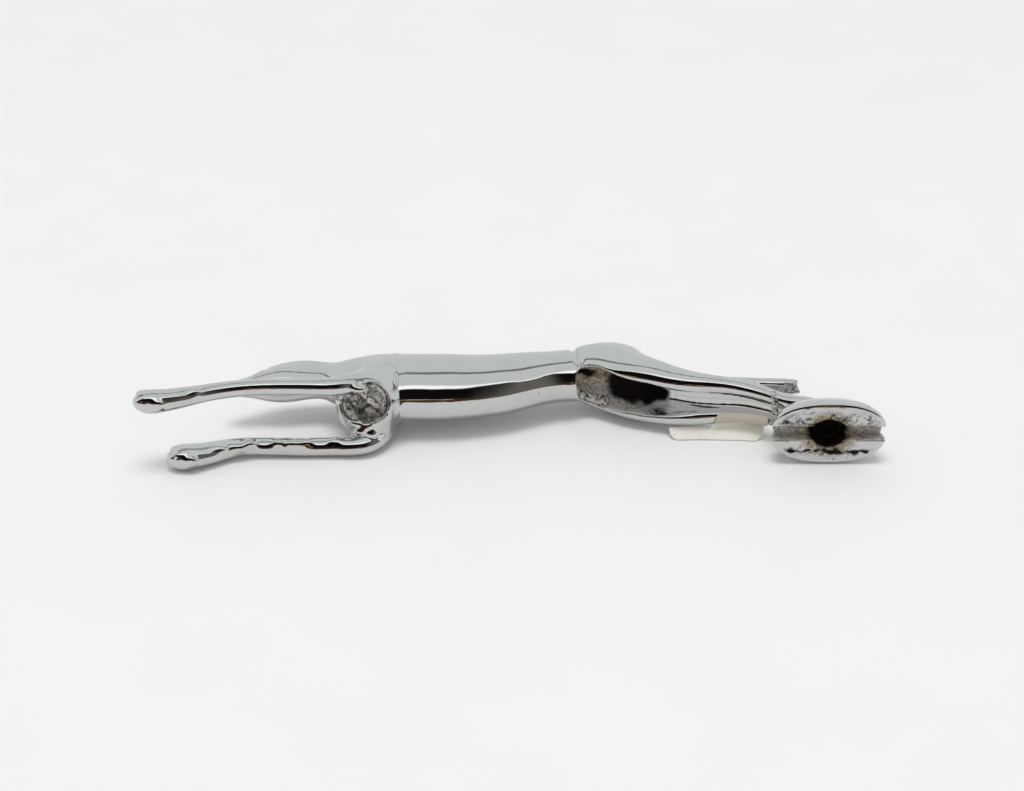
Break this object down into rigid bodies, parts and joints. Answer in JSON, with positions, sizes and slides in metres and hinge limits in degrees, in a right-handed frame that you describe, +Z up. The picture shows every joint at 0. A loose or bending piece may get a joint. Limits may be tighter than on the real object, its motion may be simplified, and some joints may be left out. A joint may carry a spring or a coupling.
{
  "type": "hood ornament",
  "caption": "Leaping hound car mascot of plated castings brazed to an oval pedestal that stands on the hood, lying on its flank.",
  "frame": {"origin": "middle of the underside of the bounding box, on the surface the ornament lies on", "axes": "+Z up from the surface to the hound's left flank, -X the way the hound leaps, +Y from the pedestal's mounting face to the hound's back"},
  "size_m": [0.2044, 0.046, 0.0244],
  "materials": {
    "plated_casting": "mirror plating over cast metal, worn and pitted in the hollows",
    "solder": "rough grey filler metal",
    "pin_brass": "plain turned",
    "rusted_steel": "rusted",
    "label_paper": "matte aged paper"
  },
  "bodies": {
    "root": {"torso": "plated_casting", "foreleg_left": "plated_casting", "foreleg_right": "plated_casting", "hindleg_left": "plated_casting", "hindleg_right": "plated_casting", "tail": "plated_casting", "pedestal": "plated_casting", "brisket_solder": "solder", "groin_solder": "solder", "foot_solder": "solder", "foreleg_pin_left": "pin_brass", "foreleg_pin_right": "pin_brass", "hindleg_pin_left": "pin_brass", "hindleg_pin_right": "pin_brass", "tail_pin": "pin_brass", "foot_pin_left": "pin_brass", "foot_pin_right": "pin_brass", "threaded_insert": "rusted_steel", "paper_label": "label_paper"}
  },
  "joints": []
}
